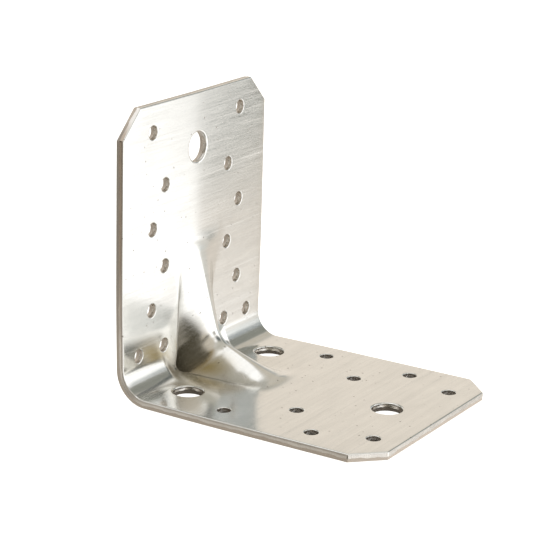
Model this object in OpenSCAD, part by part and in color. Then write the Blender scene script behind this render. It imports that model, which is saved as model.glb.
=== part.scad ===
// Reinforced angle bracket, pressed from one piece of pre-galvanised sheet steel.
// Units are millimetres. The base flange lies on z = 0 and runs along +x, the
// upright flange rises along +z, and the width runs along y, with y = 0 in the
// middle. Everything is drawn from the sharp outer heel and moved at the end, so
// that the origin is the centre of the base flange, on its underside.

/* [Sheet] */
// Width of the sheet, the same on both flanges
sheet_w = 90; // [80:1:120]
// Height of the upright flange, from the underside
upright_h = 105; // [100:1:150]
// Length of the base flange, from the back
base_l = 105; // [100:1:150]
// Thickness of the sheet
sheet_t = 3; // [2:0.25:3.5]
// Inside radius of the bend
bend_r = 9; // [6:0.5:10]
// Leg of the 45 degree cut on the free corners
corner_cut = 10; // [4:1:14]

/* [Rib] */
// Width of the pressed rib between its foot creases
rib_w = 22; // [18:1:26]
// Height on the upright at which the crest of the rib runs out
rib_up = 50; // [42:1:60]
// Distance from the back at which the crest runs out on the base
rib_out = 42; // [36:1:60]
// Distance of the rib's deepest point from the inner face of both flanges
rib_stand = 11; // [8:0.5:13]
// Radius of the crest in side view, where it turns from one flange to the other
rib_turn_r = 10; // [6:1:16]
// Roundness across the crest, a larger value for a blunter rib
rib_crest_r = 6; // [5:0.5:8]

/* [Nail holes] */
// Diameter of the nail and screw holes
nail_d = 5; // [4:0.5:6]
// Distance of the last row from the free end, on both flanges
end_row = 10; // [8:0.5:12]
// Half spacing across the last row, on both flanges
end_half = 27.5; // [24:0.5:30]
// Height of the lowest row on the upright
first_row = 15; // [15:0.5:17]
// Pitch of the rows on the upright
row_pitch = 15; // [14:0.5:16]
// Half spacing of the two outer holes of the lowest row
low_outer_half = 35; // [32:0.5:38]
// Half spacing of the two inner holes of the lowest row
low_inner_half = 19.5; // [18:0.5:22]
// Half spacing of the wide rows on the upright, the second and fourth
wide_half = 27.5; // [25:0.5:30]
// Half spacing of the narrow rows on the upright, the third and fifth
narrow_half = 20; // [18:0.5:22]
// Distances of the three inner rows on the base from the back
base_row_a = 39.5; // [38:0.5:42]
base_row_b = 60; // [57:0.5:63]
base_row_c = 75; // [72:0.5:77]
// Half spacing of the first and third of those rows
base_wide_half = 35; // [33:0.5:37]
// Half spacing of the second of those rows
base_narrow_half = 20; // [16:0.5:24]

/* [Bolt holes] */
// Diameter of the bolt and anchor holes
bolt_d = 11; // [9:0.5:13]
// Distance of the single bolt hole from the free end, on both flanges
bolt_end = 20; // [18:0.5:22]
// Distance of the pair of anchor holes from the back
anchor_x = 19; // [19:0.5:24]
// Half spacing of the pair of anchor holes
anchor_half = 27; // [24:0.5:32]

/* [Hidden] */
steel = [0.76, 0.77, 0.76];
$fn = 72;

// where the bend meets the flat of either flange
bend_end = bend_r + sheet_t;
// how far a drill runs past the sheet on both sides
drill_over = 1;

// The rib is a loft. Its sections stand in planes that fan out from a line across
// the open side of the angle, so that they never cross in the tight bend.
fan_back = 60;
fan_c = [sheet_t + fan_back, sheet_t + fan_back];
// the loft leaves the sheet's face at this depth, so that the foot is a clean edge
lip = 0.2;
// depth below the face to which the flanks would run without the foot radius
sink = 0.5;
// softness of the foot where flank and flange meet
foot_soft = 0.4;
// stations along each ramp and around the turn, and points across the rib
ramp_steps = 7;
turn_steps = 8;
across = 26;

// ---- side view of the crest, points are [x, z] ----
function unit(v) = v / norm(v);
top_end = [sheet_t, rib_up];
out_end = [rib_out, sheet_t];
apex = [sheet_t + rib_stand, sheet_t + rib_stand];
up_dir = unit(top_end - apex);
out_dir = unit(out_end - apex);
half_open = acos(up_dir * out_dir) / 2;
turn_c = apex + unit(up_dir + out_dir) * rib_turn_r / sin(half_open);
up_touch = apex + up_dir * rib_turn_r / tan(half_open);
out_touch = apex + out_dir * rib_turn_r / tan(half_open);
function heading(v) = atan2(v[1], v[0]) + (atan2(v[1], v[0]) < 0 ? 360 : 0);
turn_from = heading(up_touch - turn_c);
turn_to = heading(out_touch - turn_c);
// share of a ramp by which the loft runs on below the face past the crest's end
function run_on(depth) = 1.1 * (sink + lip) / depth;
// one ramp from beyond its end to the turn, with its stations closer near the turn
function ramp(from, to, over) = [
    for (i = [0 : ramp_steps - 1])
        from + (to - from) * (-over + (1 + over) * (1 - pow(1 - i / ramp_steps, 1.4)))
];
up_ramp = ramp(top_end, up_touch, run_on(up_touch[0] - sheet_t));
out_ramp = ramp(out_end, out_touch, run_on(out_touch[1] - sheet_t));
turn = [
    for (i = [0 : turn_steps])
        let (a = turn_from + (turn_to - turn_from) * i / turn_steps)
            turn_c + rib_turn_r * [cos(a), sin(a)]
];
crest = concat(up_ramp, turn, [for (i = [1 : ramp_steps]) out_ramp[ramp_steps - i]]);

// distance from the fan line, along dir, to the face that lies in by depth from the
// inner face of the sheet: 0 is the inner face itself, sheet_t is the outer one
function face_at(dir, depth) =
    let (
        to_up = (fan_c[0] - sheet_t + depth) / -dir[0],
        to_base = (fan_c[1] - sheet_t + depth) / -dir[1],
        bend_c = [bend_end, bend_end],
        along = (bend_c - fan_c) * dir,
        off = (bend_c - fan_c) * (bend_c - fan_c) - along * along
    )
    fan_c[1] + dir[1] * to_up >= bend_end ? to_up
    : fan_c[0] + dir[0] * to_base >= bend_end ? to_base
    : along + sqrt((bend_r + depth) * (bend_r + depth) - off);

// ---- section of the rib ----
// the flanks run out at foot_y, a little past the crease that rib_w gives
foot_y = rib_w / 2 + sink;
edge_y = foot_y + 3;
flank_run = sqrt(foot_y * foot_y + rib_crest_r * rib_crest_r) - rib_crest_r;
function wedge_lift(d) = max(d + sink + lip, 0);
function wedge(y, d) =
    wedge_lift(d) * (1 - (sqrt(y * y + rib_crest_r * rib_crest_r) - rib_crest_r) / flank_run) - sink;
function wedge_slope(y, d) =
    -wedge_lift(d) * y / sqrt(y * y + rib_crest_r * rib_crest_r) / flank_run;
// the foot is sharper where the rib is low
function soft(d) = foot_soft * min(max(d + lip, 0) / 4, 1) + 0.001;
function root(v, k) = sqrt(v * v + 4 * k * k);
function lift(y, d) = (wedge(y, d) + root(wedge(y, d), soft(d))) / 2 - lip;
function lift_slope(y, d) =
    wedge_slope(y, d) * (1 + wedge(y, d) / root(wedge(y, d), soft(d))) / 2;
// places across the rib, closer at the crest and at the feet than on the flanks
function place(i) =
    let (u = 2 * i / across - 1) edge_y * (u - 0.5 * sin(360 * u) / (2 * PI));

// One ring of the loft at crest point c. The front ring follows the rib on the inner
// face, the back ring lies one sheet thickness behind it. Each is closed by two
// points in the depth of the sheet, or outside it.
function ring(c, back) =
    let (
        dir = unit(c - fan_c),
        near = face_at(dir, 0),
        thick = face_at(dir, sheet_t) - near,
        d = near - norm(c - fan_c),
        closing = back ? -thick - 2 : -thick / 2,
        skin = [
            for (i = [0 : across])
                let (y = place(i), h = lift(y, d), s = lift_slope(y, d), n = sqrt(1 + s * s))
                    back ? [y + thick * s / n, h - thick / n] : [y, h]
        ],
        all = concat(skin, [[edge_y, closing], [-edge_y, closing]])
    )
    [for (p = all) [fan_c[0] + dir[0] * (near - p[1]), p[0], fan_c[1] + dir[1] * (near - p[1])]];

module loft(back) {
    rings = [for (c = crest) ring(c, back)];
    m = across + 3;
    last = (len(rings) - 1) * m;
    sides = [
        for (j = [0 : len(rings) - 2], i = [0 : m - 1])
            let (a = j * m + i, b = j * m + (i + 1) % m, c = b + m, d = a + m)
                each (i < across / 2 ? [[a, b, c], [a, c, d]] : [[a, b, d], [b, c, d]])
    ];
    first_cap = concat(
        [for (i = [0 : across - 1]) [m - 1, i + 1, i]],
        [[m - 1, m - 2, across]]
    );
    last_cap = [for (f = first_cap) [last + f[0], last + f[2], last + f[1]]];
    polyhedron(
        points = [for (r = rings) each r],
        faces = concat(sides, first_cap, last_cap),
        convexity = 6
    );
}

// ---- sheet ----
// a flat flange that lies on z = 0, with its free corners cut at 45 degrees
module flange(length) {
    w = sheet_w / 2;
    linear_extrude(height = sheet_t)
        polygon([
            [bend_end, -w],
            [length - corner_cut, -w],
            [length, -w + corner_cut],
            [length, w - corner_cut],
            [length - corner_cut, w],
            [bend_end, w]
        ]);
}

// turns what is drawn on the base flange onto the upright one
module on_upright() {
    mirror([1, 0, -1]) children();
}

// the quarter bend between the two flanges
module bend() {
    intersection() {
        translate([bend_end, 0, bend_end])
            rotate([90, 0, 0])
                difference() {
                    cylinder(r = bend_end, h = sheet_w, center = true);
                    cylinder(r = bend_r, h = sheet_w + 2, center = true);
                }
        translate([0, -sheet_w / 2 - 1, 0])
            cube([bend_end, sheet_w + 2, bend_end]);
    }
}

// ---- holes, drawn on the base flange ----
module drill(x, y, d) {
    translate([x, y, -drill_over])
        cylinder(d = d, h = sheet_t + 2 * drill_over);
}

module pair(x, half, d) {
    for (side = [-1, 1])
        drill(x, side * half, d);
}

module base_holes() {
    pair(anchor_x, anchor_half, bolt_d);
    pair(base_row_a, base_wide_half, nail_d);
    pair(base_row_b, base_narrow_half, nail_d);
    pair(base_row_c, base_wide_half, nail_d);
    drill(base_l - bolt_end, 0, bolt_d);
    pair(base_l - end_row, end_half, nail_d);
}

module upright_holes() {
    pair(first_row, low_outer_half, nail_d);
    pair(first_row, low_inner_half, nail_d);
    for (i = [1 : 4])
        pair(first_row + i * row_pitch, i % 2 == 1 ? wide_half : narrow_half, nail_d);
    drill(upright_h - bolt_end, 0, bolt_d);
    pair(upright_h - end_row, end_half, nail_d);
}

// the whole bracket, drawn from the heel and set on the centre of its base
module bracket() {
    color(steel)
        translate([-base_l / 2, 0, 0])
            difference() {
                union() {
                    flange(base_l);
                    on_upright() flange(upright_h);
                    bend();
                    loft(false);
                }
                loft(true);
                base_holes();
                on_upright() upright_holes();
            }
}

bracket();
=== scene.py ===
"""Looks of a reinforced angle bracket that is pressed from one piece of galvanised sheet.

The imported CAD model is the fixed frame, and the pressed sheet built here stands for its
one node. The sheet is worked out as a pressing: each point of the flat blank, with its
holes and cut corners, is carried round the bend and over the rib. The file is laid out
as an add-on and is run as a script. Lengths in the mesh code are millimetres from the
bracket's outer heel; they turn into metres in the frame at the very end.
"""

import math
from types import SimpleNamespace

import bpy
import numpy as np
from bpy.props import FloatProperty, FloatVectorProperty, IntProperty, PointerProperty
from mathutils import Matrix, Vector
from mathutils.geometry import delaunay_2d_cdt


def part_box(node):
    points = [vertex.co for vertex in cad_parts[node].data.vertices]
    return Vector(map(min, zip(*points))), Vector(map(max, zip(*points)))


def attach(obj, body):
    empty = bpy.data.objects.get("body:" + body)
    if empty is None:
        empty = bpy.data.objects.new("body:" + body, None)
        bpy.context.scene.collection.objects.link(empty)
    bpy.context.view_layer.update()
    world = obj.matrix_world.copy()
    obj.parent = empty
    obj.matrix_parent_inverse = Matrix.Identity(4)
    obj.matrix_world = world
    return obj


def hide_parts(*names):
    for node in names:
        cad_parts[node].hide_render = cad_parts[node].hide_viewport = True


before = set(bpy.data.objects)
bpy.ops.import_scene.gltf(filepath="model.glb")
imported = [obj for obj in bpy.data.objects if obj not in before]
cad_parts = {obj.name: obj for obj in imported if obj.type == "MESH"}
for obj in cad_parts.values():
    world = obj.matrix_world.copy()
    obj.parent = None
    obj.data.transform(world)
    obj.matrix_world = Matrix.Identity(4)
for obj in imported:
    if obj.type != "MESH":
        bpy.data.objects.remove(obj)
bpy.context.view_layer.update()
LOW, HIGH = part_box("bracket")

bl_info = {
    "name": "Reinforced angle bracket",
    "version": (1, 0, 0),
    "blender": (4, 5, 0),
    "location": "View3D > Sidebar > Bracket",
    "description": "Builds a pressed, galvanised angle bracket on its CAD frame, and a plain studio round it",
    "category": "Object",
}

MM = 0.001


# ---- sizes and colours that a user would change ----
def linear(code):
    """An sRGB hex value as the linear red, green and blue that Blender takes."""
    parts = [int(code[i : i + 2], 16) / 255 for i in (1, 3, 5)]
    return tuple(c / 12.92 if c <= 0.04045 else ((c + 0.055) / 1.055) ** 2.4 for c in parts)


def length(name, text, mm):
    return FloatProperty(name=name, description=text, default=mm * MM, min=0, unit="LENGTH", precision=5)


def colour(name, text, code):
    return FloatVectorProperty(
        name=name, description=text, default=linear(code), min=0, max=1, size=3, subtype="COLOR"
    )


def share(name, text, value):
    return FloatProperty(name=name, description=text, default=value, min=0, max=1, subtype="FACTOR")


def spot(name, text, xyz):
    return FloatVectorProperty(
        name=name, description=text, default=xyz, size=3, subtype="TRANSLATION", unit="LENGTH"
    )


class SheetSizes(bpy.types.PropertyGroup):
    width: length("Width", "Width of the sheet across both flanges", (HIGH.y - LOW.y) / MM)
    height: length("Height", "Height of the upright flange", (HIGH.z - LOW.z) / MM)
    reach: length("Length", "Length of the base flange from the back", (HIGH.x - LOW.x) / MM)
    thickness: length("Thickness", "Thickness of the sheet", 3)
    bend: length("Bend radius", "Inside radius of the bend", 9)
    corner_cut: length("Corner cut", "Leg of the 45 degree cut on the free corners", 10)
    drawn_in: length("Drawn in", "How far pressing the rib pulls each side edge inwards next to the bend", 0.8)
    crown: length("Crown", "How far the middle of the upright stands proud above the rib, in a soft ridge", 0.6)
    sag: length("Rim sag", "How far the shear bends the inner face down along the outline", 0.04)


class RibSizes(bpy.types.PropertyGroup):
    width: length("Width", "Width of the rib between its foot creases", 22)
    up: length("Height", "Height at which the crest runs out on the upright flange", 50)
    out: length("Reach", "Distance from the back at which the crest runs out on the base", 42)
    stand: length("Stand", "Distance of the rib's deepest point from both inner faces", 11)
    turn: length("Turn radius", "Radius of the crest in side view", 10)
    crest: length("Crest roundness", "Roundness across the crest", 6)
    foot: length("Foot softness", "Softness of the crease between flank and flange", 0.1)
    tight: length("Tight bend", "Inside radius of the bend right beside the feet, where the press drives it in", 3.5)
    fan: length(
        "Fan distance", "Distance behind both inner faces of the line from which the rib's sections fan out", 60
    )


class HoleSizes(bpy.types.PropertyGroup):
    nail: length("Nail hole", "Diameter of the nail holes", 5)
    bolt: length("Bolt hole", "Diameter of the bolt and anchor holes", 11)
    end_row: length("End row", "Distance of the last row from the free ends", 10)
    end_half: length("End half spacing", "Half spacing of the last row", 27.5)
    first_row: length("First row", "Height of the lowest row on the upright", 15)
    pitch: length("Pitch", "Pitch of the rows on the upright", 15)
    low_outer: length("Low outer", "Half spacing of the outer holes of the lowest row", 35)
    low_inner: length("Low inner", "Half spacing of the inner holes of the lowest row", 19.5)
    wide: length("Wide", "Half spacing of the wide rows on the upright", 27.5)
    narrow: length("Narrow", "Half spacing of the narrow rows on the upright", 20)
    row_a: length("Base row A", "Distance of the first inner row on the base from the back", 39.5)
    row_b: length("Base row B", "Distance of the second inner row on the base from the back", 60)
    row_c: length("Base row C", "Distance of the third inner row on the base from the back", 75)
    base_wide: length("Base wide", "Half spacing of rows A and C", 35)
    base_narrow: length("Base narrow", "Half spacing of row B", 20)
    bolt_end: length("Bolt from end", "Distance of the single bolt holes from the free ends", 20)
    anchor: length("Anchor row", "Distance of the pair of anchor holes from the back", 19)
    anchor_half: length("Anchor half spacing", "Half spacing of the anchor holes", 27)


class ShearSizes(bpy.types.PropertyGroup):
    roll: length("Roll width", "Width of the rounding that the shear leaves on the inner face", 0.6)
    roll_depth: length("Roll depth", "Depth of that rounding", 0.45)
    bolt_roll: length("Bolt hole roll", "The same rounding round a punched bolt hole", 0.7)
    nail_roll: length("Nail hole roll", "The same rounding round a punched nail hole", 0.42)
    burnish: share("Burnished share", "Share of the thickness that is cut bright before the rest breaks off", 0.55)
    lean: length("Break", "How far the broken part of the cut lies back at the outer face", 0.16)
    seed: IntProperty(name="Seed", description="Seed of the wavy line where the cut turns into the break", default=7)


class ZincFinish(bpy.types.PropertyGroup):
    zinc: colour("Zinc", "Bright zinc of the rolled sheet", "#E9E8E4")
    shade: colour("Zinc shade", "Zinc in its darker clouds and rolling streaks", "#DFDEDA")
    speck: colour("Specks", "Pits and dirt in the zinc", "#8C857A")
    # this colour is a golden tint, multiplied in at the foot of the rib's flank and on the base beside it
    foot_tint: colour("Press oil", "Film of old press oil, in the hollows beside the foot of the rib", "#C2B184")
    smooth: share("Smooth roughness", "Roughness of the tops that the rolls pressed flat", 0.13)
    matt: share("Matt roughness", "Roughness of the grain between them", 0.19)
    cut: colour("Cut", "Burnished part of a sheared edge, with zinc dragged over it", "#E8E4DE")
    # this colour is painted shade: the cut is drawn darker up the sides of the upright than along the base
    painted_shade_cut: colour("Dull cut", "The same part up the sides of the upright, where the zinc wore off the tool", "#B3A698")
    broken: colour("Break", "Broken part of a sheared edge, bare and dulled", "#C2B9AF")


class StageLook(bpy.types.PropertyGroup):
    floor: colour("Floor", "Matt white table top", "#F4F4F2")
    glow: FloatProperty(name="Table glow", description="Light that comes through the table top", default=0.8, min=0)
    place: spot("Camera place", "Where the camera stands", (0.34532, -0.58544, 0.25402))
    aim: spot("Camera aim", "Point that the camera looks at", (-0.017424, 0.0, 0.044535))
    roll: FloatProperty(
        name="Camera roll",
        description="How far the camera is tilted about its own axis",
        default=math.radians(1.598),
        subtype="ANGLE",
    )
    lens: FloatProperty(name="Lens", description="Focal length in mm on a 36 mm sensor", default=134.43, min=1)


GROUPS = {
    "bracket_sheet": SheetSizes,
    "bracket_rib": RibSizes,
    "bracket_holes": HoleSizes,
    "bracket_shear": ShearSizes,
    "bracket_finish": ZincFinish,
    "bracket_stage": StageLook,
}


# ---- shape of the pressing, in mm ----
SINK = 0.5  # how far below the flange the rib's sides start, so that the foot comes out soft
CREST_END = 0.8  # softness with which the crest runs out at its ends
RIB_ENDS = (1, 7)  # heights of the crest between which a running-out end becomes the full rib
END_ROUNDER = 1.2  # how much rounder the crest is where it runs out, as a share
END_SOFTER = 0.6  # how much softer the foot creases are there
TIGHT_TO_PLAIN = (1.5, 9)  # from the foot outwards: the bend is tight up to the first, plain after the second
BACK_FOLLOWS = 0.4  # share of the tight bend that the back follows
LIFT_FADES = (2.5, 6)  # from the foot outwards: what is left of the rib's lift fades between these
CROWN_SOFT = 4  # softness of the crown's ridge
CROWN_FADE = 0.65  # share of the crown that is gone at the upright's free end
SAG_WIDTH = 4  # distance from the outline within which the rim sags
DRAWN_LENGTH = 24  # how far along the sheet from the bend its sides are drawn in
DRAWN_WIDTH = 12  # how far in from the side the sheet follows


def unit(v):
    return v / np.linalg.norm(v, axis=-1, keepdims=True)


def cross2(a, b):
    return a[..., 0] * b[..., 1] - a[..., 1] * b[..., 0]


def soft_plus(v, k):
    """v where v is positive and nothing where it is negative, with a soft turn of size k."""
    return k * np.logaddexp(0, v / k)


def smooth_step(v, low, high):
    u = np.clip((v - low) / (high - low), 0, 1)
    return u * u * (3 - 2 * u)


def measures(scene):
    """All sizes of the sheet and the rib in mm, with what follows from them."""
    sheet, rib = scene.bracket_sheet, scene.bracket_rib
    m = SimpleNamespace(
        width=sheet.width / MM,
        height=sheet.height / MM,
        reach=sheet.reach / MM,
        thick=sheet.thickness / MM,
        bend=sheet.bend / MM,
        corner=sheet.corner_cut / MM,
        drawn=sheet.drawn_in / MM,
        crown=sheet.crown / MM,
        sag=sheet.sag / MM,
        half_rib=rib.width / MM / 2,
        crest_r=rib.crest / MM,
        turn=rib.turn / MM,
        foot=rib.foot / MM,
        tight=rib.tight / MM,
    )
    m.flat = m.bend + m.thick  # where the bend meets either flat, from the heel
    m.bend_from = m.height - m.flat  # along the blank, from the upright's free end
    m.bend_to = m.bend_from + m.bend * math.pi / 2
    m.blank = m.bend_to + m.reach - m.flat
    m.fan = np.array([1.0, 1.0]) * (m.thick + rib.fan / MM)
    m.top = np.array([m.thick, rib.up / MM])
    m.end = np.array([rib.out / MM, m.thick])
    apex = np.array([1.0, 1.0]) * (m.thick + rib.stand / MM)
    m.up, m.out = unit(m.top - apex), unit(m.end - apex)
    half = math.acos(m.up @ m.out) / 2
    m.centre = apex + unit(m.up + m.out) * m.turn / math.sin(half)
    m.up_touch = apex + m.up * m.turn / math.tan(half)
    m.out_touch = apex + m.out * m.turn / math.tan(half)
    m.mid_bend = (m.bend_from + m.bend_to) / 2
    m.foot_y = m.half_rib + SINK
    return m


def inner_line(m, s):
    """Side view of the bare sheet's inner face: the point [x, z] at s along the blank."""
    a = np.clip((s - m.bend_from) / m.bend, 0, math.pi / 2)
    x = m.flat - m.bend * np.cos(a) + np.maximum(s - m.bend_to, 0)
    z = m.flat - m.bend * np.sin(a) + np.maximum(m.bend_from - s, 0)
    return np.stack([x, z], axis=-1)


def bend_reach(m, ray, radius):
    """How far along each ray from the fan line the bare sheet lies if it is bent to that radius."""
    flat = (m.fan[0] - m.thick) / -ray.min(axis=1)
    to = m.thick + radius - m.fan[0]
    along = ray.sum(axis=1) * to
    arc = along + np.sqrt(np.maximum(radius**2 - (2 * to**2 - along**2), 0))
    on_arc = (ray * arc[:, None]).max(axis=1) < to
    return np.where(on_arc, arc, flat)


def crest_reach(m, ray):
    """How far along each ray from the fan line the crest of the rib lies."""
    lean = cross2(ray, np.array([-1.0, -1.0])) / -(ray @ np.array([1.0, 1.0]))

    def lean_of(p):
        d = p - m.fan
        return cross2(d, np.array([-1.0, -1.0])) / -(d @ np.array([1.0, 1.0]))

    on_up = cross2(m.top - m.fan, m.up) / cross2(ray, m.up)
    on_out = cross2(m.end - m.fan, m.out) / cross2(ray, m.out)
    to = m.centre - m.fan
    along = ray @ to
    on_turn = along + np.sqrt(np.maximum(m.turn**2 - (to @ to - along**2), 0))
    up_side, out_side = lean_of(m.up_touch), lean_of(m.out_touch)
    if up_side > out_side:
        return np.where(lean > up_side, on_up, np.where(lean < out_side, on_out, on_turn))
    return np.where(lean < up_side, on_up, np.where(lean > out_side, on_out, on_turn))


def rim_room(m, points):
    """Distance of points of the blank from its outline."""
    s, y = points[:, 0], np.abs(points[:, 1])
    near_end, near_side = np.minimum(s, m.blank - s), m.width / 2 - y
    return np.minimum(np.minimum(near_end, near_side), (near_end + near_side - m.corner) / math.sqrt(2))


def whole_rib(stand):
    """0 where the rib runs out and 1 where its crest stands at full height."""
    return smooth_step(stand, *RIB_ENDS)


def rib_at(m, s):
    """The bare sheet's inner line at s, the ray to it from the fan line and its length, the
    height to which the rib's crest stands there, and the crest's roundness."""
    line = inner_line(m, s)
    ray, far = unit(line - m.fan), np.linalg.norm(line - m.fan, axis=1)
    stand = soft_plus(far - crest_reach(m, ray) + SINK, CREST_END)
    return line, ray, far, stand, m.crest_r * (1 + END_ROUNDER * (1 - whole_rib(stand)))


def foot_line(m, s):
    """Distance of the crease between flank and flange from the middle, where there is one,
    and how strongly painted shade and the golden tint lie along it."""
    _, ray, far, stand, crest = rib_at(m, s)
    high = stand > 1.05 * SINK
    deep = bend_reach(m, ray, m.tight) - far
    share_down = 1 - (SINK - deep) / np.where(high, stand, 2 * SINK)
    reach = crest + (np.hypot(m.foot_y, crest) - crest) * share_down
    return np.sqrt(np.maximum(reach**2 - crest**2, 0)), high, smooth_step(stand, 3, 7.5)


def place(m, blank, face="wall"):
    """Points on the inner face of the pressing for points (s, y) of the flat blank. The face
    "inner" sags along the rim, and "back" follows the tight bend only by a part, as the
    sheet is stretched thin there."""
    s, y = blank[:, 0], blank[:, 1]
    line, ray, far, stand, crest = rib_at(m, s)
    off_foot = np.abs(y) - m.foot_y
    radius = m.tight + (m.bend - m.tight) * smooth_step(off_foot, *TIGHT_TO_PLAIN)
    deep = (bend_reach(m, ray, radius) - far) * (BACK_FOLLOWS if face == "back" else 1)
    # across, the rib is a wedge with a rounded crest; its creases run out softly at the ends
    wedge = stand * (1 - (np.hypot(y, crest) - crest) / (np.hypot(m.foot_y, crest) - crest)) - SINK
    softness = m.foot + END_SOFTER * (1 - whole_rib(stand))
    lift = soft_plus(wedge + deep, softness) * smooth_step(stand, 0, 2)
    lift = lift * (1 - smooth_step(off_foot, *LIFT_FADES)) - deep
    # the crown is a soft ridge that goes on up from the rib and fades towards the free end
    half = m.width / 2
    ridge = 1 - (np.hypot(y, CROWN_SOFT) - CROWN_SOFT) / (math.hypot(half, CROWN_SOFT) - CROWN_SOFT)
    rise, rib_top = m.bend_from - s, m.top[1] - m.flat
    fade = smooth_step(rise, 0, rib_top) * (1 - CROWN_FADE * smooth_step(rise, rib_top, m.bend_from))
    lift += m.crown * ridge * fade
    if face == "inner":
        lift -= m.sag * np.clip(1 - rim_room(m, blank) / SAG_WIDTH, 0, 1.2) ** 2
    pull = m.drawn * np.exp(-(((s - m.mid_bend) / DRAWN_LENGTH) ** 2))
    y = y - np.sign(y) * pull * smooth_step(np.abs(y), half - DRAWN_WIDTH, half)
    line = line - ray * lift[:, None]
    return np.stack([line[:, 0], y, line[:, 1]], axis=-1)


def skin(m, blank, face):
    """Places on the inner face, its normals, and the two directions along the blank."""
    d = 0.02
    here = place(m, blank, face)
    along = (place(m, blank + [d, 0], face) - place(m, blank - [d, 0], face)) / (2 * d)
    across = (place(m, blank + [0, d], face) - place(m, blank - [0, d], face)) / (2 * d)
    return here, unit(np.cross(along, across)), along, across


# ---- outline of the blank, and its holes ----
BIG_HOLE = 4  # a hole of a larger radius than this is a bolt hole
OUTLINE_STEP = 0.7  # spacing of the points round the outline
RIB_STEP, BEND_STEP, FLAT_STEP = 0.62, 0.7, 3  # spacing of the points over the rib, the bend and the flats
FINE_ROOM, WIDE_ROOM = 1.1, 1.8  # how far the close and the wide points keep from every edge
PAST_ENDS, PAST_FEET = 8, 5.5  # how far the rib's points go on past its ends and its feet


def outline(m, soft):
    """Points round the edge of the blank, metal on the left, with the outward direction."""
    w, c, end = m.width / 2, m.corner, m.blank
    lower = [(0, -w + c), (c, -w), (end - c, -w), (end, -w + c)]
    corners = np.array(lower + [(s, -y) for s, y in reversed(lower)])
    points, outward = [], []
    for i, corner in enumerate(corners):
        before, after = unit(corner - corners[i - 1]), unit(corners[(i + 1) % 8] - corner)
        turn = math.atan2(cross2(before, after), before @ after)
        back = soft * math.tan(turn / 2)
        n0 = np.array([before[1], -before[0]])
        centre = corner - before * back - n0 * soft
        for k in range(4):
            a = turn * k / 3
            n = np.array([n0[0] * math.cos(a) - n0[1] * math.sin(a), n0[0] * math.sin(a) + n0[1] * math.cos(a)])
            points.append(centre + n * soft)
            outward.append(n)
        start, stop = points[-1], corners[(i + 1) % 8] - after * back
        count = int(np.linalg.norm(stop - start) / OUTLINE_STEP)
        for k in range(1, count):
            points.append(start + (stop - start) * k / count)
            outward.append(outward[-1])
    return np.array(points), np.array(outward)


def holes(m, sizes):
    """Centre (s, y) on the blank and radius of each hole."""
    h = SimpleNamespace(**{k: getattr(sizes, k) / MM for k in HoleSizes.__annotations__})
    # distance from the heel, half spacing and diameter of each row
    upright = [(h.first_row, h.low_outer, h.nail), (h.first_row, h.low_inner, h.nail)]
    upright += [(h.first_row + i * h.pitch, h.wide if i % 2 else h.narrow, h.nail) for i in range(1, 5)]
    upright += [(m.height - h.end_row, h.end_half, h.nail), (m.height - h.bolt_end, 0, h.bolt)]
    base = [(h.anchor, h.anchor_half, h.bolt), (h.row_a, h.base_wide, h.nail)]
    base += [(h.row_b, h.base_narrow, h.nail), (h.row_c, h.base_wide, h.nail)]
    base += [(m.reach - h.end_row, h.end_half, h.nail), (m.reach - h.bolt_end, 0, h.bolt)]
    rows = [(m.height - z, half, d) for z, half, d in upright]
    rows += [(m.bend_to + x - m.flat, half, d) for x, half, d in base]
    return [((s, side * half), d / 2) for s, half, d in rows for side in ((-1, 1) if half else (1,))]


def hole_ring(centre, radius):
    """Points round a hole, metal on the left, with the direction out of the metal."""
    count = 96 if radius > BIG_HOLE else 56
    a = -2 * math.pi * np.arange(count) / count
    spoke = np.stack([np.cos(a), np.sin(a)], axis=-1)
    return np.array(centre) + radius * spoke, -spoke


def honeycomb(s0, s1, y0, y1, step):
    """Evenly spread points over a rectangle of the blank."""
    rows = np.arange(s0, s1, step * math.sqrt(0.75))
    grid = [(s, y) for i, s in enumerate(rows) for y in np.arange(y0 + (i % 2) * step / 2, y1, step)]
    return np.array(grid)


def inside(m, bores, points, room):
    """The points that keep that much room from the outline and from every hole."""
    keep = rim_room(m, points) > room
    for centre, radius in bores:
        keep &= np.hypot(points[:, 0] - centre[0], points[:, 1] - centre[1]) > radius + room
    return points[keep]


def hump(v, below, above):
    """1 at v = 0, falling off like a bell, with one width below and another above."""
    return np.exp(-((v / np.where(v > 0, above, below)) ** 2))


def shade_and_tint(m, blank):
    """How much painted crease shade and golden tint lie at points of the inner face, from 0 to 1."""
    s, y = blank[:, 0], blank[:, 1]
    crease, _, crease_strength = foot_line(m, s)
    off = np.abs(y) - crease
    past_bend = s - m.bend_to
    # painted shade: a fine dark line along the crease, and a broader patch of painted shade up the flank inside the
    # bend
    bend_shade = hump(s - m.mid_bend, 6, 6) * hump(off, 2.0, 0.5)
    along = 0.35 * hump(off, 1.5, 0.3)
    crease_shade = crease_strength * np.maximum(hump(off, 0.28, 0.28), np.maximum(bend_shade, along))
    # golden tint: on the flank's foot, and beside it on the base, on one side more than the other
    toe = 0.85 * hump(off + 2.5, 4, 3) * hump(past_bend - 1, 8, 9)
    base_patch = 0.35 * hump(np.abs(y) - 17, 8, 9) * hump(past_bend - 6, 5, 16)
    return {"painted_foot_shade": crease_shade, "foot_tint_share": np.maximum(toe * crease_strength, base_patch) * np.where(y < 0, 1, 0.35)}


ROLL_STEPS = 5  # quads down the rolled edge of a cut
SAG_RINGS = 4  # how many rings of a cut, from the rim down, sag with the inner face


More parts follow.
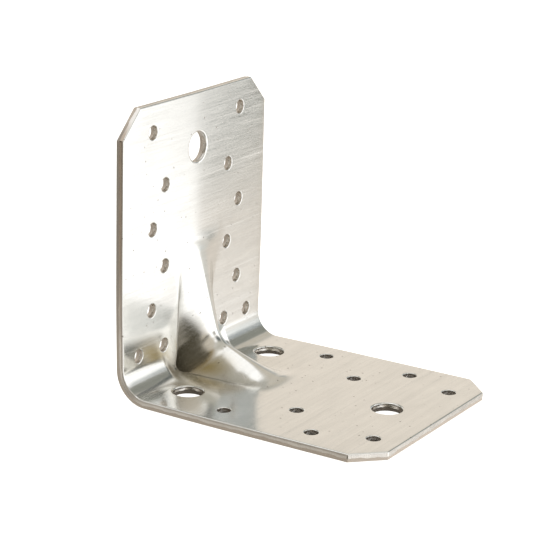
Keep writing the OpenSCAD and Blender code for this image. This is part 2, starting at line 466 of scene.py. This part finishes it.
def cut_loops(m, shear, bores):
    """A loop for the outline and for every hole, each with its stack of rings down the cut:
    rolled edge, burnish, break. A ring has its offset outwards, its depth, the outward and
    the upward part of its normal, and how far down the wall's pattern it lies."""
    rng = np.random.default_rng(shear.seed)
    lean, t = shear.lean / MM, m.thick
    cuts = [outline(m, shear.roll / MM + 0.1) + (shear.roll / MM,)]
    for centre, radius in bores:
        cuts.append(hole_ring(centre, radius) + ((shear.bolt_roll if radius > BIG_HOLE else shear.nail_roll) / MM,))
    loops = []
    for points, outward, roll in cuts:
        step = np.linalg.norm(np.roll(points, -1, axis=0) - points, axis=1)
        run = np.concatenate([[0], np.cumsum(step)])
        # the line where the cut turns into the break wanders in waves of several lengths
        turn_at = np.full(len(points), shear.burnish * t)
        for wave in (31, 17, 9, 5.3, 3.1, 1.9):
            n = max(round(run[-1] / wave), 1)
            size = 0.10 * (min(wave, 9) / 9) ** 0.5
            turn_at += size * np.sin(2 * math.pi * (n * run[:-1] / run[-1] + rng.random()))
        roll_depth = shear.roll_depth / MM * roll / (shear.roll / MM)
        rings = []
        for k in range(ROLL_STEPS + 1):
            a = math.pi / 2 * k / ROLL_STEPS
            n = np.array([math.sin(a) / roll, math.cos(a) / roll_depth])
            n /= np.linalg.norm(n)
            rings.append((-roll * (1 - math.sin(a)), roll_depth * (1 - math.cos(a)), n[0], n[1], 0.0))
        # the tool drags the cut a little open, but not in the nail holes of the base
        base_nail = points[:, 0].min() > m.bend_to and np.ptp(points[:, 0]) < 2 * BIG_HOLE
        tilt = 0.0 if base_nail else 0.28
        rings.append((0, (roll_depth + turn_at) / 2, 1 - tilt / 7, tilt, 0.25))
        rings.append((0, turn_at, 1 - tilt / 7, tilt, 0.5))
        rings.append((-0.3 * lean, turn_at + 0.15, 0.97, -0.24, 0.56))
        rings.append((-0.7 * lean, (turn_at + t) / 2, 0.995, -0.1, 0.78))
        rings.append((-lean, t, 0.995, -0.1, 1.0))
        loops.append(SimpleNamespace(points=points, outward=outward, rings=rings, run=run))
    return loops


def field_points(m, bores):
    """Points of the blank away from its edges: fine over the rib and the bend, wide elsewhere."""
    low, high = m.height - m.top[1] - PAST_ENDS, m.bend_to + m.end[0] - m.flat + PAST_ENDS
    half, side = m.foot_y + PAST_FEET, m.width / 2
    fine = honeycomb(low, high, -half, half, RIB_STEP)
    crease, there, _ = foot_line(m, fine[:, 0])
    fine = fine[~there | (np.abs(np.abs(fine[:, 1]) - crease) > 0.8)]
    # rows of points along both foot creases, so that the crease comes out crisp
    along_foot = np.arange(low, high, 0.45)
    crease, there, _ = foot_line(m, along_foot)
    feet = [(s, c) for s, c in zip(along_foot[there], crease[there]) if c > 1.2]
    off_foot = [-0.7, -0.4, -0.22, -0.1, 0, 0.1, 0.22, 0.4, 0.7]
    rows = [(s, way * (c + off)) for s, c in feet for way in (-1, 1) for off in off_foot]
    fine = np.concatenate([fine, rows])
    bend = honeycomb(m.bend_from - 1, m.bend_to + 1, -side, side, BEND_STEP)
    bend = bend[np.abs(bend[:, 1]) > m.foot_y + 5.2]
    # the wide points start 0.5 to 1 mm past the close ones
    wide = honeycomb(0, m.blank, -side, side, FLAT_STEP)
    off_rib = (np.abs(wide[:, 1]) > m.foot_y + 6) | (wide[:, 0] < low - 1) | (wide[:, 0] > high + 1)
    off_bend = (wide[:, 0] < m.bend_from - 1.5) | (wide[:, 0] > m.bend_to + 1.5)
    wide = wide[off_rib & off_bend]
    return [inside(m, bores, *part) for part in ((fine, FINE_ROOM), (bend, FINE_ROOM), (wide, WIDE_ROOM))]


def triangles(flat, first):
    """Triangles over the flat blank, leaving the holes open. The points of loop i are those
    from first[i] up to first[i + 1]."""
    edges = [(a + i, a + (i + 1) % (b - a)) for a, b in zip(first, first[1:]) for i in range(b - a)]
    made, _, faces, source, _, _ = delaunay_2d_cdt([Vector(p) for p in flat], edges, [], 0, 1e-6)
    if any(len(set(s)) != 1 for s in source) or len(made) != len(flat):
        raise RuntimeError("two points of the blank fell together")
    name = np.array([s[0] for s in source])
    tri = name[np.array([list(f) for f in faces])]
    a, b, c = flat[tri[:, 0]], flat[tri[:, 1]], flat[tri[:, 2]]
    area = cross2(b - a, c - a)
    tri[area < 0] = tri[area < 0][:, ::-1]
    loop_of = np.full(len(flat), -1)
    for i, (p, q) in enumerate(zip(first, first[1:])):
        loop_of[p:q] = i
    kind = loop_of[tri]
    in_hole = (kind[:, 0] > 0) & (kind[:, 0] == kind[:, 1]) & (kind[:, 1] == kind[:, 2])
    return tri[~in_hole & (np.abs(area) > 1e-9)]


def cut_walls(m, loops, first, normal, count):
    """Points, quads, normals and pattern places of the walls; its points count on from count."""
    wall = SimpleNamespace(spots=[], quads=[], normals=[], maps=[], kinds=[], last_ring=np.arange(first[-1]))
    for i, loop in enumerate(loops):
        n = len(loop.points)
        nxt = (np.arange(n) + 1) % n
        ids, norms, blanks = [np.arange(first[i], first[i + 1])], [normal[first[i] : first[i + 1]]], []
        for k, (off, depth, out_part, up_part, _) in enumerate(loop.rings):
            blanks.append(loop.points + off * loop.outward)
            if k == 0:  # the first ring is the rim of the inner skin
                continue
            at, up, along, across = skin(m, blanks[k], "inner" if k < SAG_RINGS else "wall")
            out = unit(along * loop.outward[:, :1] + across * loop.outward[:, 1:])
            wall.spots.append(at - up * np.broadcast_to(depth, n)[:, None])
            ids.append(count + np.arange(n))
            norms.append(unit(out * out_part + up * up_part))
            count += n
        for k in range(len(loop.rings) - 1):
            wall.quads.append(np.stack([ids[k][nxt], ids[k], ids[k + 1], ids[k + 1][nxt]], axis=1))
            wall.normals.append(np.stack([norms[k][nxt], norms[k], norms[k + 1], norms[k + 1][nxt]], axis=1))
            if k < ROLL_STEPS:  # the rolled edge keeps its zinc, so it goes on with the skin's pattern
                now, then = blanks[k] * MM, blanks[k + 1] * MM
                corners = now[nxt], now, then, then[nxt]
            else:
                u0, u1 = loop.run[:-1] * MM, loop.run[1:] * MM
                v0, v1 = (np.full(n, loop.rings[j][4]) for j in (k, k + 1))
                corners = [np.stack(p, -1) for p in ((u1, v0), (u0, v0), (u0, v1), (u1, v1))]
            wall.maps.append(np.stack(corners, axis=1))
            wall.kinds.append(np.full(n, 0 if k < ROLL_STEPS else 1, np.int32))
        wall.last_ring[first[i] : first[i + 1]] = ids[-1]
    return wall


def pressed_mesh(scene):
    """The whole sheet as one closed mesh: inner skin, outer skin, and the sheared walls."""
    m = measures(scene)
    bores = holes(m, scene.bracket_holes)
    loops = cut_loops(m, scene.bracket_shear, bores)
    rim = [loop.points + loop.rings[0][0] * loop.outward for loop in loops]
    first = np.cumsum([0] + [len(r) for r in rim])
    flat = np.concatenate(rim + field_points(m, bores))
    tri = triangles(flat, first)

    here, normal, _, _ = skin(m, flat, "inner")
    behind, behind_normal, _, _ = skin(m, flat, "back")
    wall = cut_walls(m, loops, first, normal, len(flat))
    field = np.arange(first[-1], len(flat))
    spots = np.concatenate([here] + wall.spots + [behind[field] - behind_normal[field] * m.thick])
    to_back = np.concatenate([wall.last_ring, len(spots) - len(field) + np.arange(len(field))])
    back, quads = to_back[tri][:, ::-1], np.concatenate(wall.quads)

    # one mesh in metres, in the frame
    corner = np.concatenate([tri.ravel(), back.ravel(), quads.ravel()])
    skins = [normal[tri].reshape(-1, 3), -behind_normal[tri[:, ::-1]].reshape(-1, 3)]
    normals = np.concatenate(skins + [np.concatenate(wall.normals).reshape(-1, 3)])
    maps = [(flat * MM)[tri].reshape(-1, 2), (flat * MM)[tri[:, ::-1]].reshape(-1, 2) + [0.3, 0]]
    uv = np.concatenate(maps + [np.concatenate(wall.maps).reshape(-1, 2)])
    size = np.concatenate([np.full(2 * len(tri), 3), np.full(len(quads), 4)])
    kinds = np.concatenate([np.zeros(2 * len(tri), np.int32)] + wall.kinds)
    spots = (spots - [m.reach / 2, 0, 0]) * MM
    mesh = bpy.data.meshes.new("pressed_sheet")
    mesh.vertices.add(len(spots))
    mesh.vertices.foreach_set("co", spots.astype(np.float32).ravel())
    mesh.loops.add(len(corner))
    mesh.loops.foreach_set("vertex_index", corner.astype(np.int32))
    mesh.polygons.add(len(size))
    mesh.polygons.foreach_set("loop_start", (np.cumsum(size) - size).astype(np.int32))
    mesh.polygons.foreach_set("material_index", kinds)
    mesh.update(calc_edges=True)
    mesh.uv_layers.new(name="blank").uv.foreach_set("vector", uv.astype(np.float32).ravel())
    for name, overlay in shade_and_tint(m, flat).items():
        values = np.zeros(len(spots), np.float32)
        values[: len(flat)] = overlay
        mesh.attributes.new(name, "FLOAT", "POINT").data.foreach_set("value", values)
    mesh.shade_smooth()
    mesh.normals_split_custom_set(normals.astype(np.float32))
    if mesh.validate(verbose=False):
        raise RuntimeError("the sheet's mesh had faces that had to be mended")
    return mesh


# ---- materials ----
def add(tree, kind, values=None, links=None, **settings):
    """Adds a node with its settings, the numbers on its sockets, and what feeds them."""
    made = tree.nodes.new(kind)
    for key, value in settings.items():
        setattr(made, key, value)
    for key, value in (values or {}).items():
        made.inputs[key].default_value = value
    for key, source in (links or {}).items():
        tree.links.new(source if isinstance(source, bpy.types.NodeSocket) else source.outputs[0], made.inputs[key])
    return made


def blank_material(name):
    made = bpy.data.materials.new(name)
    made.use_nodes = True
    made.node_tree.nodes.clear()
    return made, made.node_tree


def pregalvanised_sheet(look):
    """Hot-dip galvanised steel, skin-passed between rolls.

    The rolls press the tops of the grain flat, so the eye sees a clear reflection and a
    soft haze round it at once, with faint streaks along the rolls, across the width."""
    made, tree = blank_material("pregalvanised_sheet")
    blank = add(tree, "ShaderNodeUVMap", uv_map="blank")
    # size of each noise in mm along and across the blank, and its character;
    # the real grain is about 0.1 mm and is drawn at 0.5 mm, so that it shows
    noises = {
        "grain": (0.5, 0.7, {"Detail": 3, "Roughness": 0.6}),
        "cloud": (9, 22, {"Detail": 4, "Roughness": 0.55, "Distortion": 0.4}),
        "streak": (2.4, 150, {"Detail": 5, "Roughness": 0.7}),  # left by the rolls, as long as the sheet is wide
        "fine_streak": (0.6, 18, {"Detail": 2}),
        "mark": (1.1, 70, {"Detail": 0}),  # a few thin roll marks, some cm long
    }
    n = SimpleNamespace()
    for name, (along, across, values) in noises.items():
        scale = {1: [1 / (along * MM), 1 / (across * MM), 1]}
        links = {"Vector": add(tree, "ShaderNodeVectorMath", scale, {0: blank}, operation="MULTIPLY")}
        setattr(n, name, add(tree, "ShaderNodeTexNoise", {"Scale": 1, **values}, links, noise_dimensions="2D"))
    # pits of 0.3 to 0.8 mm, one to each few cells of 5 mm
    scale = {1: [1 / (5 * MM), 1 / (5 * MM), 1]}
    links = {"Vector": add(tree, "ShaderNodeVectorMath", scale, {0: blank}, operation="MULTIPLY")}
    pit = add(tree, "ShaderNodeTexVoronoi", {"Scale": 1, "Randomness": 1}, links, voronoi_dimensions="2D")
    lot = add(tree, "ShaderNodeSeparateColor", links={"Color": pit.outputs["Color"]}).outputs["Red"]
    values = {"From Min": 0.45, "From Max": 1, "To Min": 0, "To Max": 0.085}
    pit_size = add(tree, "ShaderNodeMapRange", values, {"Value": lot})
    pit_edge = add(tree, "ShaderNodeMath", links={0: pit_size, 1: pit.outputs["Distance"]}, operation="SUBTRACT")
    values = {"From Min": 0, "From Max": 0.03, "To Min": 0, "To Max": 0.7}
    pit_mask = add(tree, "ShaderNodeMapRange", values, {"Value": pit_edge})
    tinted = add(tree, "ShaderNodeAttribute", attribute_name="foot_tint_share").outputs["Fac"]
    crease_shade_share = add(tree, "ShaderNodeAttribute", attribute_name="painted_foot_shade").outputs["Fac"]

    # colour: bright and darker zinc, pits, then a golden tint, then painted shade in the crease
    tone = add(tree, "ShaderNodeMath", {1: 0.5}, {0: n.cloud}, operation="MULTIPLY")
    tone = add(tree, "ShaderNodeMath", {1: 0.5}, {0: n.streak, 2: tone}, operation="MULTIPLY_ADD")
    tone = add(tree, "ShaderNodeMapRange", {"From Min": 0.36, "From Max": 0.64}, {"Value": tone})
    both = {6: look.shade[:] + (1,), 7: look.zinc[:] + (1,)}
    paint = add(tree, "ShaderNodeMix", both, {0: tone}, data_type="RGBA").outputs[2]
    dirt = {7: look.speck[:] + (1,)}
    paint = add(tree, "ShaderNodeMix", dirt, {0: pit_mask, 6: paint}, data_type="RGBA").outputs[2]
    values = {"From Min": 0.35, "From Max": 0.65, "To Min": 0.75, "To Max": 1.2}
    overlay = add(tree, "ShaderNodeMapRange", values, {"Value": n.cloud})
    overlay = add(tree, "ShaderNodeMath", links={0: overlay, 1: tinted}, operation="MULTIPLY", use_clamp=True)
    tint, links = {7: look.foot_tint[:] + (1,)}, {0: overlay, 6: paint}
    paint = add(tree, "ShaderNodeMix", tint, links, data_type="RGBA", blend_type="MULTIPLY").outputs[2]
    # painted shade: the crease and the inside of the bend are drawn darker, towards a dark brown
    crease_shade = add(tree, "ShaderNodeMath", {1: 0.65}, {0: crease_shade_share}, operation="MULTIPLY")
    crease_shade_colour = {7: linear("#554A32") + (1,)}
    paint = add(tree, "ShaderNodeMix", crease_shade_colour, {0: crease_shade, 6: paint}, data_type="RGBA").outputs[2]
    # where the golden tint lies the sheet is less metallic, so that the tint shows whatever the metal mirrors
    bare = add(tree, "ShaderNodeMath", {1: -0.25, 2: 1.0}, {0: overlay}, operation="MULTIPLY_ADD", use_clamp=True)

    # roughness: by grain, streaks, roll marks and pits
    values = {"From Min": 0.42, "From Max": 0.6, "To Min": look.smooth, "To Max": look.matt}
    rough = add(tree, "ShaderNodeMapRange", values, {"Value": n.grain})
    lighter = add(tree, "ShaderNodeMath", {1: 0.5}, {0: n.fine_streak}, operation="SUBTRACT")
    rough = add(tree, "ShaderNodeMath", {1: 0.1}, {0: lighter, 2: rough}, operation="MULTIPLY_ADD")
    mark = add(tree, "ShaderNodeMapRange", {"From Min": 0.74, "From Max": 0.86, "To Max": 0.08}, {"Value": n.mark})
    rough = add(tree, "ShaderNodeMath", links={0: rough, 1: mark}, operation="ADD")
    links = {0: pit_mask, 2: rough}
    rough = add(tree, "ShaderNodeMath", {1: 0.25}, links, operation="MULTIPLY_ADD", use_clamp=True)

    # relief: strength and height in mm
    wave = add(tree, "ShaderNodeBump", {"Strength": 1, "Distance": 0.005 * MM}, {"Height": n.streak})
    for strength, mm, noise in ((0.35, 0.003, n.cloud), (0.03, 0.001, n.grain)):
        links = {"Height": noise, "Normal": wave}
        wave = add(tree, "ShaderNodeBump", {"Strength": strength, "Distance": mm * MM}, links)
    links = {"Base Color": paint, "Metallic": bare, "Roughness": rough, "Normal": wave}
    metal = add(tree, "ShaderNodeBsdfPrincipled", links=links)
    add(tree, "ShaderNodeOutputMaterial", links={"Surface": metal})
    return made


def sheared_steel(look):
    """Sheared edge of the sheet: cut bright by the tool, then broken off.

    The cut half drags zinc down with it and stays light, with fine score lines through
    the thickness. The broken half is bare, rough and dulled to brown."""
    made, tree = blank_material("sheared_steel")
    blank = add(tree, "ShaderNodeUVMap", uv_map="blank")
    down = add(tree, "ShaderNodeSeparateXYZ", links={0: blank}).outputs["Y"]
    # length of each noise in mm along the cut, how often it turns through the thickness,
    # and its character: score lines, crumbs of the break, and slow drifts of colour
    noises = {
        "score": (0.3, 0.5, {"Detail": 2}),
        "crumb": (0.5, 6, {"Detail": 4, "Roughness": 0.65}),
        "drift": (7, 0.6, {"Detail": 2}),
    }
    n = SimpleNamespace()
    for name, (along, through, values) in noises.items():
        scale = {1: [1 / (along * MM), through, 1]}
        links = {"Vector": add(tree, "ShaderNodeVectorMath", scale, {0: blank}, operation="MULTIPLY")}
        setattr(n, name, add(tree, "ShaderNodeTexNoise", {"Scale": 1, **values}, links, noise_dimensions="2D"))
    bite = add(tree, "ShaderNodeMath", {1: 0.22}, {0: n.crumb, 2: down}, operation="MULTIPLY_ADD")
    values = {"From Min": 0.58, "From Max": 0.70}
    broken = add(tree, "ShaderNodeMapRange", values, {"Value": bite}, interpolation_type="SMOOTHSTEP")

    # painted shade: up the sides of the upright the edge is drawn darker than along the base
    at = add(tree, "ShaderNodeSeparateXYZ", links={0: add(tree, "ShaderNodeTexCoord").outputs["Object"]})
    values = {"From Min": 8 * MM, "From Max": 60 * MM}
    high = add(tree, "ShaderNodeMapRange", values, {"Value": at.outputs["Z"]}, interpolation_type="SMOOTHSTEP")
    from_middle = add(tree, "ShaderNodeMath", links={0: at.outputs["Y"]}, operation="ABSOLUTE")
    at_side = add(tree, "ShaderNodeMapRange", {"From Min": 39 * MM, "From Max": 43 * MM}, {"Value": from_middle})
    up_shade = add(tree, "ShaderNodeMath", links={0: high, 1: at_side}, operation="MULTIPLY")

    both = {6: look.cut[:] + (1,), 7: look.painted_shade_cut[:] + (1,)}
    cut = add(tree, "ShaderNodeMix", both, {0: up_shade}, data_type="RGBA").outputs[2]
    paler = add(tree, "ShaderNodeMapRange", {"To Min": 0.75, "To Max": 1.1}, {"Value": n.drift})
    cut = add(tree, "ShaderNodeMix", {0: 1.0}, {6: cut, 7: paler}, data_type="RGBA", blend_type="MULTIPLY").outputs[2]
    both = {6: look.broken[:] + (1,), 7: tuple(1.5 * c for c in look.broken) + (1,)}
    bare = add(tree, "ShaderNodeMix", both, {0: n.crumb}, data_type="RGBA").outputs[2]
    # the broken part is drawn darker there too, as painted shade
    darker, links = {7: (0.68, 0.68, 0.68, 1)}, {0: up_shade, 6: bare}
    bare = add(tree, "ShaderNodeMix", darker, links, data_type="RGBA", blend_type="MULTIPLY").outputs[2]
    wall = add(tree, "ShaderNodeMix", links={0: broken, 6: cut, 7: bare}, data_type="RGBA").outputs[2]
    rough = add(tree, "ShaderNodeMapRange", {"To Min": 0.24, "To Max": 0.6}, {"Value": broken})
    height = add(tree, "ShaderNodeMix", links={0: broken, 2: n.score, 3: n.crumb})
    wave = add(tree, "ShaderNodeBump", {"Strength": 0.6, "Distance": 0.02 * MM}, {"Height": height})
    links = {"Base Color": wall, "Roughness": rough, "Normal": wave}
    metal = add(tree, "ShaderNodeBsdfPrincipled", {"Metallic": 1.0}, links)
    add(tree, "ShaderNodeOutputMaterial", links={"Surface": metal})
    return made


def table_top(look):
    """Matt white acrylic table top, lit from below, so that the object has next to no shadow."""
    made, tree = blank_material("matt_acrylic")
    at = add(tree, "ShaderNodeTexCoord").outputs["Object"]
    haze = add(tree, "ShaderNodeTexNoise", {"Scale": 1 / (40 * MM), "Detail": 2}, {"Vector": at})
    rough = add(tree, "ShaderNodeMapRange", {"To Min": 0.7, "To Max": 0.85}, {"Value": haze})
    values = {
        "Base Color": look.floor[:] + (1,),
        "Specular IOR Level": 0.2,
        "Emission Color": (1, 1, 1, 1),
        "Emission Strength": look.glow,
    }
    top = add(tree, "ShaderNodeBsdfPrincipled", values, {"Roughness": rough})
    add(tree, "ShaderNodeOutputMaterial", links={"Surface": top})
    return made


def shaded_top(look):
    """Painted shade: a dark stand-in for the table where the sheet covers it and no light reaches."""
    made, tree = blank_material("shaded_acrylic")
    top = add(tree, "ShaderNodeBsdfDiffuse", {"Color": tuple(0.15 * c for c in look.floor) + (1,)})
    add(tree, "ShaderNodeOutputMaterial", links={"Surface": top})
    return made


# ---- stage ----
def shaded_patches(m, bores):
    """Outlines in the frame of the dark patches of painted shade on the table, under each hole of the base and deep
    under the rib.
    """
    rings = [hole_ring((s - m.bend_to + m.flat, y), r + 0.2)[0] for (s, y), r in bores if s > m.bend_to]
    end, half = 0.6 * m.end[0], 0.6 * m.half_rib
    side = [(m.thick, half), (0.7 * end, half), (end, half / 2)]
    rings.append(np.array([(x, -y) for x, y in side] + side[::-1]))
    return [(ring - [m.reach / 2, 0]) * MM for ring in rings]


ROOM = "#DEDBD5"  # the even pale room between the cards
BACKDROP = 1.1  # brightness of the plain white that the camera itself sees

# The room that the sheet mirrors, as soft cards: azimuth from and to, the softness of both
# ends, how far the card leans (azimuth per degree of elevation), elevation from and to, the
# softness of both ends, all in degrees, then colour and strength. Azimuth is counted from
# +X towards +Y, and a later card lies over the ones before it.
CARDS = [
    (-179, 179, 1, 1, 0, 57, 95, 5, 1, "#FFFFFF", 1.35),  # soft box overhead
    (-84, 84, 18, 8, 0, 52, 84, 5, 4, "#CFCCC2", 1.0),  # ceiling before it
    (-180, -142, 8, 14, 0, 40, 60, 6, 6, "#FFFFFF", 1.35),  # box let down at the back
    (-120, -24, 12, 14, 0, 0, 46, 8, 5, "#D6CEC0", 1.0),  # pale warm wall behind the camera
    (-118, -72, 12, 10, 0, 41, 50, 4, 4, "#A08C60", 1.0),  # lamp glow above it
    (-30, 58, 10, 2.5, 0, -34, 34, 8, 7, "#FFFFFF", 1.6),  # window along the open side
    (-14, 14, 6, 6, 0, 17, 30, 4, 4, "#BAB7B0", 1.0),  # blind in front of it
    (-10, 42, 8, 8, 0, 37, 55, 4, 6, "#6E7474", 1.0),  # dim wall over it
    (-36, -14, 6, 5, 0, 39, 50, 4, 4, "#FFFFFF", 1.3),  # top pane of the window
    (56, 112, 1.2, 8, 0, -50, 3, 3, 4, "#E7DFD5", 1.0),  # pale table past its edge
    (59.9, 64, 1.2, 1.5, -0.3, -13.9, -6.5, 1.4, 2, "#868C88", 1.0),  # table in the shade
    (51.3, 112, 1.2, 8, -0.15, -6, 8, 4, 4, "#E2E0DA", 1.0),  # skirting
    (51.2, 112, 0.8, 8, -0.15, 4, 26, 4, 4, "#DEE3E3", 1.0),  # pale blue wall
    (53.3, 112, 0.8, 8, -0.12, 16, 30, 5, 4, "#A3AAAC", 1.0),  # its dimmer upper part
    (60, 90, 4, 4, 0, 26, 46, 4, 6, "#92948C", 1.0),  # dark corner of the room
    (92, 150, 4, 10, 0, 27, 50, 4, 8, "#D2CBBE", 1.0),  # warm wall beside it
    (110, 160, 8, 10, 0, 27, 58, 5, 8, "#BDBBB3", 1.0),  # its shaded part
    (107, 150, 5, 10, 0, -40, 27, 8, 5, "#F6EDE1", 1.0),  # warm backdrop behind the upright
    (-112, -40, 5, 8, 0, -50, -13, 8, 3, "#E4DDD4", 1.0),  # table on the camera's side
    (-100, -42, 10, 5, 0.86, -17, 45, 3, 3, "#4B4638", 1.0),  # dim room behind the camera
    (-58, -33, 5, 5, 0, 11.5, 19, 3, 3.5, "#716D62", 1.0),  # dark shade of the lamp
    (-178, -106, 12, 8, 0, -70, 0, 8, 8, "#C9C7C2", 1.0),  # grey bench behind the upright
    (-124, -106, 8, 8, 0, -70, 0, 8, 8, "#9A9084", 1.0),  # brown bench beside it
]


def between(tree, source, low, high, soft_low, soft_high):
    """1 where the source lies between low and high, falling off softly at both."""
    sides = []
    for off, on in ((low - soft_low, low + soft_low), (high + soft_high, high - soft_high)):
        values = {"From Min": off, "From Max": on}
        sides.append(add(tree, "ShaderNodeMapRange", values, {"Value": source}, interpolation_type="SMOOTHSTEP"))
    return add(tree, "ShaderNodeMath", links={0: sides[0], 1: sides[1]}, operation="MULTIPLY")


def studio_light(scene):
    """World light: an even pale room with soft cards. The camera itself sees plain white."""
    world = bpy.data.worlds.new("studio")
    scene.world = world
    world.use_nodes = True
    tree = world.node_tree
    tree.nodes.clear()
    way = add(tree, "ShaderNodeSeparateXYZ", links={0: add(tree, "ShaderNodeTexCoord").outputs["Generated"]})
    x, y, z = way.outputs
    in_degrees = {1: 180 / math.pi}
    around = add(tree, "ShaderNodeMath", links={0: y, 1: x}, operation="ARCTAN2")
    around = add(tree, "ShaderNodeMath", in_degrees, {0: around}, operation="MULTIPLY")
    above = add(tree, "ShaderNodeMath", links={0: z}, operation="ARCSINE")
    above = add(tree, "ShaderNodeMath", in_degrees, {0: above}, operation="MULTIPLY")
    lit = add(tree, "ShaderNodeMix", {0: 0, 6: linear(ROOM) + (1,)}, data_type="RGBA").outputs[2]
    for left, right, soft_left, soft_right, lean, low, high, soft_low, soft_high, code, strength in CARDS:
        middle, half = (left + right) / 2, (right - left) / 2
        off = add(tree, "ShaderNodeMath", {1: lean, 2: -middle}, {0: above}, operation="MULTIPLY_ADD")
        off = add(tree, "ShaderNodeMath", links={0: off, 1: around}, operation="ADD")
        off = add(tree, "ShaderNodeMath", {1: 180, 2: -180}, {0: off}, operation="WRAP")
        wide = between(tree, off, -half, half, soft_left, soft_right)
        tall = between(tree, above, low, high, soft_low, soft_high)
        mask = add(tree, "ShaderNodeMath", links={0: wide, 1: tall}, operation="MULTIPLY")
        card = tuple(strength * c for c in linear(code)) + (1,)
        lit = add(tree, "ShaderNodeMix", {7: card}, {0: mask, 6: lit}, data_type="RGBA").outputs[2]
    seen = add(tree, "ShaderNodeLightPath").outputs["Is Camera Ray"]
    white = {7: (BACKDROP, BACKDROP, BACKDROP, 1)}
    shown = add(tree, "ShaderNodeMix", white, {0: seen, 6: lit}, data_type="RGBA")
    light = add(tree, "ShaderNodeBackground", links={"Color": shown.outputs[2]})
    add(tree, "ShaderNodeOutputWorld", links={"Surface": light})


def aim_camera(scene, look):
    data = bpy.data.cameras.new("camera")
    data.sensor_width = 36
    data.lens = look.lens
    data.clip_start, data.clip_end = 0.02, 50
    camera = bpy.data.objects.new("camera", data)
    scene.collection.objects.link(camera)
    view = Vector(look.aim) - Vector(look.place)
    level = view.to_track_quat("-Z", "Y").to_matrix().to_4x4()
    camera.matrix_world = Matrix.Translation(look.place) @ level @ Matrix.Rotation(look.roll, 4, "Z")
    scene.camera = camera


# ---- operators and panel ----
class BRACKET_OT_pressed_sheet(bpy.types.Operator):
    """Build the pressed sheet with its rib, holes and sheared edges"""

    bl_idname = "bracket.pressed_sheet"
    bl_label = "Pressed sheet"

    def execute(self, context):
        scene = context.scene
        mesh = pressed_mesh(scene)
        mesh.materials.append(pregalvanised_sheet(scene.bracket_finish))
        mesh.materials.append(sheared_steel(scene.bracket_finish))
        piece = bpy.data.objects.new("pressed_sheet", mesh)
        scene.collection.objects.link(piece)
        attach(piece, "root")
        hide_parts("bracket")
        return {"FINISHED"}


class BRACKET_OT_stage(bpy.types.Operator):
    """Set the white table, the soft studio light and the camera"""

    bl_idname = "bracket.stage"
    bl_label = "Table, light and camera"

    def execute(self, context):
        scene, look = context.scene, context.scene.bracket_stage
        # just under the sheet, so that the two planes don't fight
        far, low = 4, -0.1 * MM
        mesh = bpy.data.meshes.new("floor")
        mesh.from_pydata([(-far, -far, low), (far, -far, low), (far, far, low), (-far, far, low)], [], [(0, 1, 2, 3)])
        mesh.materials.append(table_top(look))
        floor = bpy.data.objects.new("floor", mesh)
        scene.collection.objects.link(floor)
        floor.visible_glossy = floor.visible_diffuse = False
        # painted shade: dark patches for the table under the holes and the hollow, where it gets no light; only
        # reflections see this
        m, points, faces = measures(scene), [], []
        for ring in shaded_patches(m, holes(m, scene.bracket_holes)):
            faces.append(list(range(len(points), len(points) + len(ring))))
            points += [(x, y, 2 * low) for x, y in ring]
        mesh = bpy.data.meshes.new("shaded_table")
        mesh.from_pydata(points, [], faces)
        mesh.materials.append(shaded_top(look))
        shaded = bpy.data.objects.new("shaded_table", mesh)
        scene.collection.objects.link(shaded)
        shaded.visible_camera = shaded.visible_shadow = False
        studio_light(scene)
        aim_camera(scene, look)
        scene.view_settings.view_transform = "Standard"
        return {"FINISHED"}


class BRACKET_PT_panel(bpy.types.Panel):
    """Sizes, colours and build steps of the bracket"""

    bl_label = "Angle bracket"
    bl_space_type = "VIEW_3D"
    bl_region_type = "UI"
    bl_category = "Bracket"

    def draw(self, context):
        for name, group in GROUPS.items():
            box = self.layout.box()
            for field in group.__annotations__:
                box.prop(getattr(context.scene, name), field)
        for step in STEPS:
            self.layout.operator(step.bl_idname)


STEPS = (BRACKET_OT_pressed_sheet, BRACKET_OT_stage)
CLASSES = tuple(GROUPS.values()) + STEPS + (BRACKET_PT_panel,)


def register():
    for cls in CLASSES:
        bpy.utils.register_class(cls)
    for name, group in GROUPS.items():
        setattr(bpy.types.Scene, name, PointerProperty(type=group))


def unregister():
    for name in GROUPS:
        delattr(bpy.types.Scene, name)
    for cls in reversed(CLASSES):
        bpy.utils.unregister_class(cls)


def main():
    register()
    bpy.ops.bracket.pressed_sheet()
    bpy.ops.bracket.stage()


if __name__ == "__main__":
    main()
